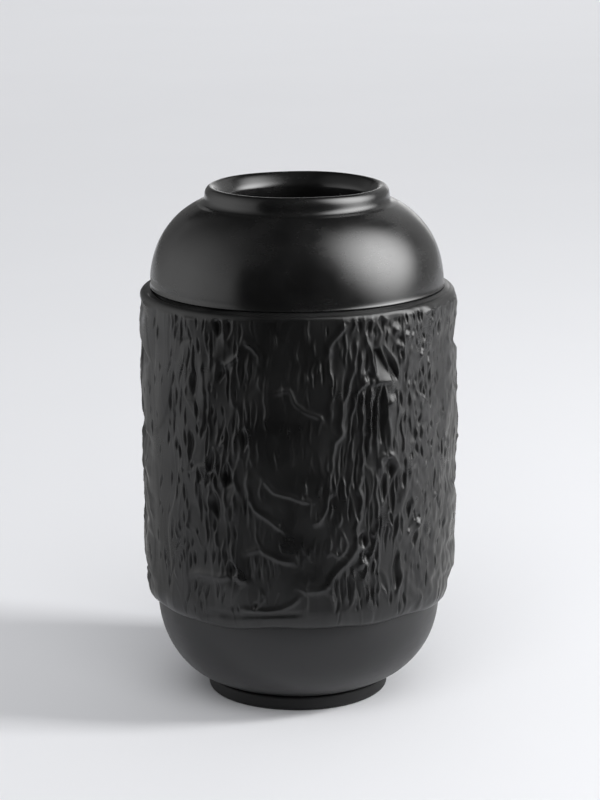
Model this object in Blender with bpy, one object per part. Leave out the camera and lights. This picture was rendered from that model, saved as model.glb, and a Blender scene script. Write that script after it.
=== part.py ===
"""Barro negro vase: a barrel-shaped black clay pot, built up by hand from seven clay members.

From the ground up they are a foot ring, a floor disc, a lower bowl, a cylindrical body wall, a
bark-textured band wrapped round that wall, a shoulder dome and a rim collar.  Each one is a
separate turned solid about the Z axis, and each meets its neighbours in a lap, a rebate or a
tongue and groove, with a thin slip gap between the faces.

Profiles are lists of (radius, height) in millimetres; `turned` writes them out in metres.
The origin is the centre of the circle that the foot stands on, and +Z points up to the mouth.
"""

import math

import bmesh
import bpy

MM = 0.001

# Driving dimensions, in millimetres
HEIGHT = 300.0
WALL = 6.5              # thickness of the hand-built clay
GAP = 0.3               # slip gap between two members
LAP = 5.0               # depth of the lap joints in the wall
MARGIN = 0.5            # least distance between a curve's last point and the corner it runs into

FOOT_RADIUS = 53.0
FOOT_BORE = 43.0
FOOT_TOP = 8.6          # height at which the foot ring meets the bowl
FOOT_EDGE = 2.6         # rounding of the foot's outer lower edge
FOOT_CHAMFER = 1.2      # bevel of the foot's inner lower edge
KEY_INNER = 46.0        # the ridge on the foot ring that seats in the bowl's underside
KEY_OUTER = 50.0
KEY_RISE = 1.5

FLOOR_TOP = 15.1
FLOOR_RADIUS = 42.0
FLOOR_PLUG_RADIUS = 37.7
FLOOR_STEP = 12.0       # height of the ledge that carries the floor disc

BOWL_RADIUS = 83.4      # outside radius where the bowl turns upright
BOWL_LEVEL = 62.0
BOWL_DEPTH = 59.7
BOWL_AXIS_OFFSET = 18.5
BOWL_POWER = 2.34
BOWL_TOP = 66.0         # top of the bowl's outer half
BOWL_FILLET = 2.0       # width of the slope between the bowl's inside and the floor disc's edge

WALL_TOP = 232.0        # top of the body wall's outer half

BAND_RADIUS = 91.2
BAND_BOTTOM = 61.5
BAND_TOP = 240.8
BAND_TAPER = 11.0       # height over which the band's lower edge thins out
BAND_FEATHER = 0.8      # thickness left at that thin edge
BAND_LIP = 3.1          # half the thickness of the rounded top edge
BAND_LIP_RISE = 4.3
BAND_PLAIN = 1.0        # plain strip between the relief and the rounded top edge
RELIEF = 0.8            # height of the bark ridges on these solids

SHOULDER_RADIUS = 84.7
SHOULDER_LEVEL = 237.7
SHOULDER_RISE = 60.1
SHOULDER_AXIS_OFFSET = 15.8
SHOULDER_POWER = 2.41
SHOULDER_TOP = 291.2
SHOULDER_INNER_STOP = 294.0     # level at which the dome's curve stops for its inner face
SHOULDER_LIP = 0.6      # height of the bevel where that face meets the collar's bore
GROOVE_LOW = 238.2      # the tooled line between the shoulder and the band
GROOVE_HIGH = 242.2
GROOVE_DEPTH = 1.6
GROOVE_EDGE = 0.1       # set-back of the groove's upper edge, where the dome already leans in

COLLAR_RADIUS = 53.0
COLLAR_SEAT = 290.3     # flat rebate in the shoulder that carries the collar
COLLAR_CREST = 49.3     # radius of the rim's highest circle
COLLAR_ROUND = 5.2
MOUTH_RADIUS = 42.0
MOUTH_LEVEL = 291.3     # bottom of the flared lip, top of the straight throat
MOUTH_BOTTOM = 284.8
SHOULDER_MOUTH = 46.0
THROAT_EDGE = ((1.0, -0.4), (0.0, 0.8))     # bevel round the throat's lower edge, from its corner
FLARE_FOOT = (0.9, 1.9)                     # first step of the flare, from the throat's top
FLARE_HEAD = ((-2.6, -2.2), (-1.5, -0.7))   # last steps of the flare, from the rim's crest

TURN_STEPS = 48
BAND_STEPS = 80
BAND_ROWS = 13
SHARP_ANGLE = 35.0      # corners turned more than this, in degrees, are shaded as edges

BURNISHED_CLAY = ("burnished_clay", (0.030, 0.030, 0.032), 0.28)
TEXTURED_CLAY = ("textured_clay", (0.034, 0.034, 0.036), 0.42)
MATTE_CLAY = ("matte_clay", (0.036, 0.036, 0.038), 0.52)
RAW_CLAY = ("raw_clay", (0.045, 0.044, 0.044), 0.75)


def clear_scene():
    """Remove every object, so that the model starts from nothing."""
    for old in list(bpy.data.objects):
        bpy.data.objects.remove(old, do_unlink=True)


def clay(recipe):
    """A Principled clay with a colour and a roughness."""
    name, colour, roughness = recipe
    material = bpy.data.materials.get(name)
    if material is None:
        material = bpy.data.materials.new(name)
        material.use_nodes = True
        shader = material.node_tree.nodes["Principled BSDF"]
        shader.inputs["Base Color"].default_value = (*colour, 1.0)
        shader.inputs["Roughness"].default_value = roughness
        shader.inputs["Metallic"].default_value = 0.0
    return material


def turned(name, profile, recipe, steps=TURN_STEPS):
    """Spin a closed profile about Z into one solid; points on the axis close it there."""
    solid = bmesh.new()
    corners = [solid.verts.new((r * MM, 0.0, z * MM)) for r, z in profile]
    for here, there in zip(corners, corners[1:] + corners[:1]):
        if here.co.x > 0.0 or there.co.x > 0.0:
            solid.edges.new((here, there))
    bmesh.ops.spin(
        solid,
        geom=solid.verts[:] + solid.edges[:],
        axis=(0.0, 0.0, 1.0),
        cent=(0.0, 0.0, 0.0),
        angle=math.tau,
        steps=steps,
        use_merge=True,
    )
    bmesh.ops.remove_doubles(solid, verts=solid.verts[:], dist=0.01 * MM)
    bmesh.ops.recalc_face_normals(solid, faces=solid.faces[:])
    mesh = bpy.data.meshes.new(name)
    solid.to_mesh(mesh)
    solid.free()
    mesh.shade_smooth()
    mesh.set_sharp_from_angle(angle=math.radians(SHARP_ANGLE))
    mesh.materials.append(clay(recipe))
    piece = bpy.data.objects.new(name, mesh)
    bpy.context.scene.collection.objects.link(piece)
    return piece


def ellipse_arc(radius, level, reach, rise, start, end, count):
    """Points round an ellipse centred at (radius, level), from angle start to end in degrees."""
    angles = [math.radians(start + (end - start) * i / (count - 1)) for i in range(count)]
    return [(radius + reach * math.cos(a), level + rise * math.sin(a)) for a in angles]


def dome_curve(offset, radius, level, rise, power, stop_level, count):
    """A superellipse quarter that leaves (radius, level) upright and ends at stop_level.

    A positive rise makes a dome and a negative one a bowl; power 2 would be a plain ellipse.
    """
    reach = radius - offset
    stop = math.asin(((stop_level - level) / rise) ** (power / 2.0))
    points = []
    for i in range(count):
        t = stop * i / (count - 1)
        points.append((
            offset + reach * math.cos(t) ** (2.0 / power),
            level + rise * math.sin(t) ** (2.0 / power),
        ))
    return points


def moved_inward(points, distance, towards_axis=1.0):
    """The points shifted square to their curve by distance; towards_axis is -1 on a rising curve."""
    shifted = []
    for i, (r, z) in enumerate(points):
        before = points[max(i - 1, 0)]
        after = points[min(i + 1, len(points) - 1)]
        dr, dz = after[0] - before[0], after[1] - before[1]
        length = math.hypot(dr, dz)
        shifted.append((
            r + towards_axis * distance * dz / length,
            z - towards_axis * distance * dr / length,
        ))
    return shifted


def bowl_outside():
    """The bowl's outer curve, from its upright rim down to the foot."""
    return dome_curve(
        BOWL_AXIS_OFFSET, BOWL_RADIUS, BOWL_LEVEL, -BOWL_DEPTH, BOWL_POWER, FOOT_TOP, 11
    )


def shoulder_outside():
    """The dome's outer curve, from just above the tooled groove up to the collar's seat."""
    curve = dome_curve(
        SHOULDER_AXIS_OFFSET, SHOULDER_RADIUS, SHOULDER_LEVEL, SHOULDER_RISE,
        SHOULDER_POWER, SHOULDER_TOP, 12,
    )
    return [point for point in curve if point[1] > GROOVE_HIGH + MARGIN]


def foot_ring():
    """A turned ring with a rounded outer edge and a ridge that keys into the bowl."""
    top = FOOT_TOP - GAP
    profile = [(FOOT_RADIUS, top)]
    profile += ellipse_arc(
        FOOT_RADIUS - FOOT_EDGE, FOOT_EDGE, FOOT_EDGE, FOOT_EDGE, 0.0, -90.0, 5
    )
    profile += [
        (FOOT_BORE + FOOT_CHAMFER, 0.0),
        (FOOT_BORE, FOOT_CHAMFER),
        (FOOT_BORE, top),
        (KEY_INNER, top),
        (KEY_INNER, top + KEY_RISE),
        (KEY_OUTER, top + KEY_RISE),
        (KEY_OUTER, top),
    ]
    return turned("foot_ring", profile, MATTE_CLAY)


def floor_disc():
    """The pot's floor: a stepped disc dropped into the bowl's bottom opening."""
    profile = [
        (0.0, FLOOR_TOP),
        (FLOOR_RADIUS, FLOOR_TOP),
        (FLOOR_RADIUS, FLOOR_STEP),
        (FLOOR_PLUG_RADIUS, FLOOR_STEP),
        (FLOOR_PLUG_RADIUS, FOOT_TOP),
        (0.0, FOOT_TOP),
    ]
    return turned("floor_disc", profile, RAW_CLAY)


def lower_bowl():
    """The rounded bottom, with a lap at its rim, a ledge for the floor and a groove for the foot."""
    outside = bowl_outside()
    inside = moved_inward(outside, WALL)
    inside = [point for point in inside if point[1] > FLOOR_TOP + MARGIN]
    inner_radius = BOWL_RADIUS - WALL
    lap_radius = BOWL_RADIUS - WALL / 2.0
    profile = [(inner_radius, BOWL_TOP + LAP), (lap_radius, BOWL_TOP + LAP), (lap_radius, BOWL_TOP)]
    profile += [(BOWL_RADIUS, BOWL_TOP)] + outside
    profile += [
        (KEY_OUTER + GAP, FOOT_TOP),
        (KEY_OUTER + GAP, FOOT_TOP + KEY_RISE),
        (KEY_INNER - GAP, FOOT_TOP + KEY_RISE),
        (KEY_INNER - GAP, FOOT_TOP),
        (FLOOR_PLUG_RADIUS + GAP, FOOT_TOP),
        (FLOOR_PLUG_RADIUS + GAP, FLOOR_STEP - GAP),
        (FLOOR_RADIUS + GAP, FLOOR_STEP - GAP),
        (FLOOR_RADIUS + GAP, FLOOR_TOP),
        (inside[-1][0] - BOWL_FILLET, FLOOR_TOP),
    ]
    profile += inside[::-1]
    return turned("lower_bowl", profile, MATTE_CLAY)


def body_wall():
    """The upright wall behind the band, lapped over the bowl below and under the shoulder above."""
    low_outer, high_outer = BOWL_RADIUS, SHOULDER_RADIUS
    low_lap = low_outer - WALL / 2.0 + GAP
    high_lap = high_outer - WALL / 2.0 - GAP
    profile = [
        (high_outer - WALL, WALL_TOP + LAP),
        (high_lap, WALL_TOP + LAP),
        (high_lap, WALL_TOP),
        (high_outer, WALL_TOP),
        (low_outer, BOWL_TOP + GAP),
        (low_lap, BOWL_TOP + GAP),
        (low_lap, BOWL_TOP + LAP + GAP),
        (low_outer - WALL, BOWL_TOP + LAP + GAP),
    ]
    return turned("body_wall", profile, RAW_CLAY)


def bark_height(turn, level):
    """Height of the bark relief at an angle round the pot, in radians, and a height above ground."""
    waver = 0.9 * math.sin(3.0 * turn + level / 21.0) + 0.6 * math.sin(5.0 * turn - level / 13.0)
    ridges = math.sin(18.0 * turn + 2.2 * waver)
    breaks = math.sin(level / 9.0 + 2.5 * waver + 7.0 * turn)
    swells = math.sin(4.0 * turn + level / 30.0) * math.cos(level / 26.0 - 3.0 * turn)
    return RELIEF * (0.5 * ridges * breaks + 0.5 * swells)


def bark_band():
    """The textured slab wrapped round the wall: feathered below, rounded and plain above."""
    inner_low = BOWL_RADIUS + GAP
    inner_high = SHOULDER_RADIUS + GAP
    lip_radius = BAND_RADIUS - BAND_LIP
    face_top = BAND_TOP - BAND_LIP_RISE
    face_bottom = BAND_BOTTOM + BAND_TAPER
    profile = ellipse_arc(lip_radius, face_top, BAND_LIP, BAND_LIP_RISE, 180.0, 0.0, 8)
    drop = (face_top - face_bottom) / BAND_ROWS
    profile += [(BAND_RADIUS, face_top - drop * row) for row in range(1, BAND_ROWS)]
    profile += ellipse_arc(
        inner_low + BAND_FEATHER, face_bottom,
        BAND_RADIUS - inner_low - BAND_FEATHER, BAND_TAPER, 0.0, -90.0, 6,
    )
    profile += [(inner_low, BAND_BOTTOM), (inner_high, WALL_TOP), (inner_high, face_top - BAND_PLAIN)]
    band = turned("bark_band", profile, TEXTURED_CLAY, BAND_STEPS)
    for corner in band.data.vertices:
        radius = math.hypot(corner.co.x, corner.co.y)
        level = corner.co.z / MM
        if radius > (BAND_RADIUS - MARGIN) * MM and face_bottom < level < face_top - BAND_PLAIN:
            turn = math.atan2(corner.co.y, corner.co.x)
            grown = 1.0 + bark_height(turn, level) * MM / radius
            corner.co.x *= grown
            corner.co.y *= grown
    return band


def shoulder_dome():
    """The upper dome: a skirt lapped over the wall, a tooled groove and a seat for the collar."""
    outside = shoulder_outside()
    full_curve = dome_curve(
        SHOULDER_AXIS_OFFSET, SHOULDER_RADIUS, SHOULDER_LEVEL, SHOULDER_RISE,
        SHOULDER_POWER, SHOULDER_INNER_STOP, 12,
    )
    inside = moved_inward(full_curve, WALL, -1.0)
    inside = [point for point in inside if point[0] > SHOULDER_MOUTH + 2.0 * MARGIN]
    skirt_inner = SHOULDER_RADIUS - WALL / 2.0
    skirt_bottom = WALL_TOP + GAP
    lap_top = WALL_TOP + LAP + GAP
    profile = [
        (SHOULDER_MOUTH, COLLAR_SEAT),
        (COLLAR_RADIUS + GAP, COLLAR_SEAT),
    ]
    profile += outside[::-1]
    profile += [
        (SHOULDER_RADIUS - GROOVE_EDGE, GROOVE_HIGH),
        (SHOULDER_RADIUS - GROOVE_DEPTH, (GROOVE_LOW + GROOVE_HIGH) / 2.0),
        (SHOULDER_RADIUS, GROOVE_LOW),
        (SHOULDER_RADIUS, skirt_bottom),
        (skirt_inner, skirt_bottom),
        (skirt_inner, lap_top),
        (SHOULDER_RADIUS - WALL, lap_top),
    ]
    profile += inside[1:]
    profile.append((SHOULDER_MOUTH, inside[-1][1] + SHOULDER_LIP))
    return turned("shoulder_dome", profile, BURNISHED_CLAY)


def rim_collar():
    """The thick rounded lip: it sits in the shoulder's rebate and lines the mouth."""
    seat = COLLAR_SEAT + GAP
    tongue_radius = SHOULDER_MOUTH - GAP
    reach = COLLAR_RADIUS - COLLAR_CREST
    profile = ellipse_arc(COLLAR_CREST, HEIGHT - COLLAR_ROUND, reach, COLLAR_ROUND, 90.0, 0.0, 6)
    profile += [
        (COLLAR_RADIUS, seat),
        (tongue_radius, seat),
        (tongue_radius, MOUTH_BOTTOM),
        *((MOUTH_RADIUS + r, MOUTH_BOTTOM + z) for r, z in THROAT_EDGE),
        (MOUTH_RADIUS, MOUTH_LEVEL),
        (MOUTH_RADIUS + FLARE_FOOT[0], MOUTH_LEVEL + FLARE_FOOT[1]),
        *((COLLAR_CREST + r, HEIGHT + z) for r, z in FLARE_HEAD),
    ]
    return turned("rim_collar", profile, BURNISHED_CLAY)


def main():
    """Build the seven members under one empty that stands for the whole pot."""
    clear_scene()
    pot = bpy.data.objects.new("clay_pot", None)
    bpy.context.scene.collection.objects.link(pot)
    for member in (foot_ring, floor_disc, lower_bowl, body_wall, bark_band, shoulder_dome, rim_collar):
        member().parent = pot


main()
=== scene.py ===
"""Barro negro vase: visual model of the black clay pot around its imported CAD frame.

Every CAD member gets a detailed piece of clay that rides on the part's one body.  The pieces are
lathe meshes whose surfaces are reshaped in numpy: a shared gentle hand-made unevenness, a tooled
groove, and a bark relief of plates, ridges and pressed slits on the band.
Lengths are in millimetres until `lathe` writes them out in metres.
"""

import math

import bpy
import numpy as np
from mathutils import Matrix, Vector


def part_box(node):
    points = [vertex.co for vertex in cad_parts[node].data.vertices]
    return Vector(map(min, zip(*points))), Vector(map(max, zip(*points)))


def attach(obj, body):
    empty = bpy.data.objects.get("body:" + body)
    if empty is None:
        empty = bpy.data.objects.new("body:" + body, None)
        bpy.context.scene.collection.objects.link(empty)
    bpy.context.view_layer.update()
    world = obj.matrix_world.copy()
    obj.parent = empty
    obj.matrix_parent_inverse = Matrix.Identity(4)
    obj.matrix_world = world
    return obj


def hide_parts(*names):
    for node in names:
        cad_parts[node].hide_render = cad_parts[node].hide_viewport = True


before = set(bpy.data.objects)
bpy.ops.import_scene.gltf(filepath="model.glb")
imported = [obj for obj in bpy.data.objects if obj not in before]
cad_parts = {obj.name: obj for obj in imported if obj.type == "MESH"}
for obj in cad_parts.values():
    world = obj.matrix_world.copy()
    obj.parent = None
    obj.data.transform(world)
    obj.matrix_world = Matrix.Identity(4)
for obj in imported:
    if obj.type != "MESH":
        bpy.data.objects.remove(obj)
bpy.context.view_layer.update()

MM = 0.001
BODY = "root"


def corner(node, high):
    """Lowest or highest corner of a CAD node, in millimetres."""
    return np.array(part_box(node)[1 if high else 0]) / MM


# Levels and radii taken from the frame
HEIGHT = corner("rim_collar", True)[2]
COLLAR_RADIUS = corner("rim_collar", True)[0]
THROAT_BOTTOM = corner("rim_collar", False)[2] + 0.4
SHOULDER_RADIUS = corner("shoulder_dome", True)[0]
SKIRT_BOTTOM = corner("shoulder_dome", False)[2]
BAND_BOTTOM = corner("bark_band", False)[2]
BAND_RADIUS = 91.2
BOWL_RADIUS = corner("lower_bowl", True)[0]
BOWL_BOTTOM = corner("lower_bowl", False)[2]
FOOT_RADIUS = corner("foot_ring", True)[0]
GROUND = corner("foot_ring", False)[2]
FLOOR_TOP = corner("floor_disc", True)[2]
# Thickness of the wall, the luted gap between members, and the lap of a joint in the wall
WALL = 6.5
GAP = 0.3
LAP = 5.0
# Levels at which the bowl and the dome stand upright, and of the tooled line between dome and band
BOWL_LEVEL = 62.0
SHOULDER_LEVEL = 237.7
LINE_LEVEL = 241.0


# ---------------------------------------------------------------- shared shaping

def smooth(value, low, high):
    """Smooth step from 0 at low to 1 at high, for arrays."""
    t = np.clip((value - low) / (high - low), 0.0, 1.0)
    return t * t * (3.0 - 2.0 * t)


def unevenness(turn, level):
    """Radial drift of the hand-built form, in millimetres, the same for every member."""
    rise = level / HEIGHT
    drift = 0.22 * np.sin(2.0 * turn + 0.9 + 2.4 * rise)
    drift += 0.16 * np.sin(3.0 * turn - 1.7 + 5.1 * rise)
    drift += 0.10 * np.sin(5.0 * turn + 0.4 - 7.3 * rise)
    return drift


def lathe(node, rings, material):
    """The clay in place of a CAD node: a closed solid from rings of radius and level.

    `rings` has the shape (rows, turns, 2).  Turn 0 faces the front and grows to the right.
    """
    name = f"{node}_clay"
    rows, turns = rings.shape[:2]
    turn = np.arange(turns) * (math.tau / turns)
    radius, level = rings[..., 0], rings[..., 1]
    radius = radius + unevenness(turn[None, :], level) * np.clip(radius / 30.0, 0, 1)
    lean = -0.9 * (1.0 - smooth(level, 4.0, 34.0))
    points = np.stack((radius * np.sin(turn) + lean, -radius * np.cos(turn), level), axis=-1)
    points = points.reshape(-1, 3) * MM
    here, there = np.meshgrid(np.arange(rows), np.arange(turns), indexing="ij")
    below, right = (here + 1) % rows, (there + 1) % turns
    here, below = here * turns, below * turns
    faces = np.stack((here + there, here + right, below + right, below + there), axis=-1)
    mesh = bpy.data.meshes.new(name)
    mesh.from_pydata(points.tolist(), [], faces.reshape(-1, 4).tolist())
    mesh.shade_smooth()
    mesh.materials.append(material)
    piece = bpy.data.objects.new(name, mesh)
    bpy.context.scene.collection.objects.link(piece)
    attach(piece, BODY)
    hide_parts(node)
    return piece


def spun(profile, turns):
    """Rings of a plain turned profile, a list of (radius, level)."""
    profile = np.array(profile, dtype=float)
    return np.repeat(profile[:, None, :], turns, axis=1)


def curve(centre, reach, start, end, count):
    """Points on an ellipse quarter or so, from start to end degrees."""
    angles = np.radians(np.linspace(start, end, count))
    return [(centre[0] + reach[0] * math.cos(a), centre[1] + reach[1] * math.sin(a)) for a in angles]


def dome(offset, radius, level, rise, power, stop, count):
    """A superellipse quarter from (radius, level) to the level `stop`."""
    end = math.asin(((stop - level) / rise) ** (power / 2.0))
    t = np.linspace(0.0, end, count)
    across = offset + (radius - offset) * np.cos(t) ** (2.0 / power)
    return np.stack((across, level + rise * np.sin(t) ** (2.0 / power)), axis=-1)


def inward(points, distance):
    """The curve moved square to itself, to the left of its direction of travel."""
    step = np.gradient(points, axis=0)
    step /= np.linalg.norm(step, axis=1)[:, None]
    return points + distance * np.stack((-step[:, 1], step[:, 0]), axis=-1)


# ---------------------------------------------------------------- materials

def add(tree, kind, settings=None, **inputs):
    """A node with its settings, and its inputs set to values or linked from sockets.

    An input is given by its name, with _ for a space, or by its number, as _0, _1 and so on.
    """
    made = tree.nodes.new(kind)
    for key, value in (settings or {}).items():
        setattr(made, key, value)
    for key, value in inputs.items():
        socket = made.inputs[int(key[1:]) if key[1:].isdigit() else key.replace("_", " ")]
        if isinstance(value, bpy.types.NodeSocket):
            tree.links.new(value, socket)
        else:
            socket.default_value = value
    return made


def scaled_noise(tree, coords, stretch, scale, detail=4.0, roughness=0.55):
    """Noise stretched by a scale per axis; returns its factor socket."""
    mapping = add(tree, "ShaderNodeMapping", Vector=coords, Scale=stretch)
    noise = add(
        tree, "ShaderNodeTexNoise",
        Vector=mapping.outputs["Vector"], Scale=scale, Detail=detail, Roughness=roughness,
    )
    return noise.outputs["Fac"]


def spread(tree, value, low, high, out_low, out_high):
    """Map a factor to a range, clamped."""
    node = add(
        tree, "ShaderNodeMapRange",
        Value=value, From_Min=low, From_Max=high, To_Min=out_low, To_Max=out_high,
    )
    return node.outputs["Result"]


def maths(tree, operation, *values):
    """Result of a maths node on sockets or numbers."""
    inputs = {f"_{place}": value for place, value in enumerate(values)}
    return add(tree, "ShaderNodeMath", {"operation": operation}, **inputs).outputs[0]


def times(tree, first, second):
    """Product of two sockets or numbers."""
    return maths(tree, "MULTIPLY", first, second)


def mix(tree, factor, first, second, blend="MIX"):
    """Mix of two colours."""
    settings = {"data_type": "RGBA", "blend_type": blend}
    return add(tree, "ShaderNodeMix", settings, Factor=factor, _6=first, _7=second).outputs[2]


def new_material(name):
    """A material with its node tree."""
    material = bpy.data.materials.new(name)
    material.use_nodes = True
    return material, material.node_tree


def clay(name, dark, light, gloss, grain, streaks, ior, relief=False):
    """Black clay: mottled colour, uneven polish, tool streaks and a fine grain.

    gloss is the (lowest, highest) roughness, grain and streaks are bump heights in millimetres;
    relief paints shade into low places by darkening their colour, and makes them duller.
    """
    material, tree = new_material(name)
    shader = tree.nodes["Principled BSDF"]
    shader.inputs["IOR"].default_value = ior
    coords = add(tree, "ShaderNodeTexCoord").outputs["Object"]
    mottle = scaled_noise(tree, coords, (1.0, 1.0, 1.0), 42.0, 5.0)
    streak = scaled_noise(tree, coords, (0.12, 0.12, 1.0), 620.0, 3.0)
    fine = scaled_noise(tree, coords, (1.0, 1.0, 1.0), 1500.0, 2.0)
    tone = mix(tree, spread(tree, mottle, 0.32, 0.68, 0.0, 1.0), (*dark, 1.0), (*light, 1.0))
    polish = maths(tree, "MULTIPLY_ADD", mottle, 0.8, times(tree, streak, 0.2))
    rough = spread(tree, polish, 0.38, 0.62, gloss[0], gloss[1])
    if relief:
        relief_shade = add(tree, "ShaderNodeAttribute", {"attribute_name": "relief"}).outputs["Fac"]
        rough = maths(tree, "ADD", spread(tree, relief_shade, 0.25, 0.55, 0.14, 0.0), rough)
        # painted shade: the colour is darkened where the bark lies low
        tone = mix(tree, 1.0, tone, spread(tree, relief_shade, 0.1, 0.6, 0.35, 1.05), "MULTIPLY")
    tree.links.new(tone, shader.inputs["Base Color"])
    tree.links.new(rough, shader.inputs["Roughness"])
    bump = add(tree, "ShaderNodeBump", Height=streak, Distance=streaks * MM, Strength=1.0)
    bump = add(
        tree, "ShaderNodeBump",
        Height=fine, Distance=grain * MM, Strength=1.0, Normal=bump.outputs["Normal"],
    )
    tree.links.new(bump.outputs["Normal"], shader.inputs["Normal"])
    return material


BURNISHED = clay("burnished_clay", (0.004,) * 3, (0.007,) * 3, (0.2, 0.3), 0.006, 0.004, 1.6)
TEXTURED = clay("textured_clay", (0.0045,) * 3, (0.008,) * 3, (0.26, 0.38), 0.03, 0.0, 1.5, relief=True)
MATTE = clay("matte_clay", (0.01, 0.01, 0.0106), (0.014, 0.014, 0.0148), (0.36, 0.46), 0.02, 0.012, 1.48)
FOOT = clay("foot_clay", (0.005, 0.005, 0.0053), (0.008, 0.008, 0.0083), (0.58, 0.7), 0.03, 0.012, 1.42)
RAW = clay("raw_clay", (0.012, 0.011, 0.011), (0.022, 0.021, 0.02), (0.7, 0.85), 0.06, 0.05, 1.45)


# ---------------------------------------------------------------- plain members

def foot_ring():
    """The low ring that the pot stands on."""
    edge = 2.6
    bore = FOOT_RADIUS - 10.0
    ridge = corner("foot_ring", True)[2]
    top = ridge - 1.5
    profile = curve((FOOT_RADIUS - edge, GROUND + edge), (edge, edge), 0.0, -90.0, 8)
    profile += [(bore + 3.0, GROUND), (bore + 1.2, GROUND)]
    profile += curve((bore + 1.2, GROUND + 1.2), (1.2, 1.2), -110.0, -180.0, 4)
    profile += [
        (bore, top), (bore + 3.0, top), (bore + 3.0, ridge), (bore + 7.0, ridge), (bore + 7.0, top),
    ]
    profile += curve((FOOT_RADIUS - 1.3, top - 1.2), (1.3, 1.2), 90.0, 0.0, 7)
    profile += [(FOOT_RADIUS, z) for z in np.linspace(top - 2.0, GROUND + edge + 0.4, 5)]
    return lathe("foot_ring", spun(profile, turns=192), FOOT)


def lower_bowl():
    """The smooth rounded bottom, from the foot to under the band's lower edge."""
    outside = dome(18.5, BOWL_RADIUS, BOWL_LEVEL, -59.7, 2.34, BOWL_BOTTOM, 60)
    inside = inward(outside, -WALL)
    inside = inside[inside[:, 1] > FLOOR_TOP + 0.5]
    tuck, tuck_height = 2.0, 8.0
    below = np.clip((BOWL_BOTTOM + tuck_height - outside[:, 1]) / tuck_height, 0.0, 1.0)
    outside[:, 0] -= tuck * below ** 2
    top = BOWL_LEVEL + 4.0
    half = BOWL_RADIUS - WALL / 2
    profile = [(BOWL_RADIUS - WALL, top + LAP), (half, top + LAP), (half, top), (BOWL_RADIUS, top)]
    profile += outside.tolist()
    profile += [
        (50.3, BOWL_BOTTOM), (50.3, BOWL_BOTTOM + 1.5), (45.7, BOWL_BOTTOM + 1.5), (45.7, BOWL_BOTTOM),
        (38.0, BOWL_BOTTOM), (38.0, FLOOR_TOP - 3.4), (42.3, FLOOR_TOP - 3.4), (42.3, FLOOR_TOP),
        (inside[-1][0] - 2.0, FLOOR_TOP),
    ]
    profile += inside[::-1].tolist()
    return lathe("lower_bowl", spun(profile, turns=256), MATTE)


def shoulder_dome():
    """The burnished dome, its crisp lower lip over the tooled groove, and the collar's seat."""
    turns = 256
    arch = (15.8, SHOULDER_RADIUS, SHOULDER_LEVEL, 60.1, 2.41)
    outside = dome(*arch, HEIGHT - 10.4, 90)
    outside = outside[outside[:, 1] > LINE_LEVEL + 3.2]
    inside = inward(dome(*arch, HEIGHT - 6.0, 60), WALL)
    inside = inside[inside[:, 0] > 47.0]
    # the lip and the tooled line: radius past the wall, and level over the line
    lip = [
        (-0.05, 2.8), (0.12, 2.3), (0.34, 1.95), (0.42, 1.65), (0.32, 1.4), (0.02, 1.15),
        (-0.33, 0.9), (-0.53, 0.5), (-0.58, -0.4), (-0.48, -1.4), (-0.3, -2.2), (0.0, -2.8),
        (0.0, -6.0),
    ]
    seat = corner("rim_collar", False)[2] + 5.5
    profile = [(46.0, seat), (COLLAR_RADIUS + GAP, seat), (COLLAR_RADIUS + GAP, outside[-1][1])]
    profile += outside[::-1].tolist()
    profile += [(SHOULDER_RADIUS + past, LINE_LEVEL + over) for past, over in lip]
    half, lap = SHOULDER_RADIUS - WALL / 2, SKIRT_BOTTOM + LAP
    profile += [(SHOULDER_RADIUS, SKIRT_BOTTOM), (half, SKIRT_BOTTOM), (half, lap)]
    profile.append((SHOULDER_RADIUS - WALL, lap))
    profile += inside[1:].tolist()
    profile.append((46.0, inside[-1][1] + 0.6))
    rings = spun(profile, turns)
    # a slight swelling on the left
    side = np.cos(np.arange(turns) * (math.tau / turns) - math.radians(-88.0))
    swell = smooth(rings[..., 1], 243.5, 250.0) * (1.0 - smooth(rings[..., 1], 282.0, 291.0))
    rings[..., 0] += 0.6 * swell * np.clip(side, 0.0, 1.0)[None, :] ** 2
    return lathe("shoulder_dome", rings, BURNISHED)


def rim_collar():
    """The thick rounded lip with its flared inner slope and straight throat."""
    turns = 224
    crown, seat, throat = 5.4, THROAT_BOTTOM + 5.5, 42.0
    profile = [(48.3, HEIGHT - 0.28), (48.7, HEIGHT - 0.06)]
    profile += curve((49.3, HEIGHT - crown), (3.7, crown), 90.0, 0.0, 10)
    profile += curve((57.2, HEIGHT - 6.2), (4.1, 4.2), 180.0, 265.0, 9)
    profile += [(57.0, HEIGHT - 10.5), (54.5, HEIGHT - 10.5), (54.5, seat), (45.7, seat)]
    profile += [(45.7, THROAT_BOTTOM), (43.0, THROAT_BOTTOM - 0.4)]
    profile += [(throat + 0.2, THROAT_BOTTOM + 0.3), (throat, THROAT_BOTTOM + 1.2)]
    # the flare: radius past the throat, and depth under the top
    flare = [
        (0.0, 11.0), (0.0, 8.4), (0.1, 7.5), (0.4, 6.6), (0.9, 5.7), (1.7, 4.7), (2.7, 3.5),
        (3.8, 2.3), (4.8, 1.3), (5.6, 0.65),
    ]
    profile += [(throat + past, HEIGHT - depth) for past, depth in flare]
    rings = spun(profile, turns)
    turn = np.arange(turns) * (math.tau / turns)
    top = smooth(rings[..., 1], 291.0, 300.0)
    wobble = 0.15 * np.sin(2.0 * turn + 2.0) + 0.10 * np.sin(5.0 * turn + 0.6) - 0.2
    rings[..., 1] += top * wobble[None, :]
    return lathe("rim_collar", rings, BURNISHED)


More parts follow.
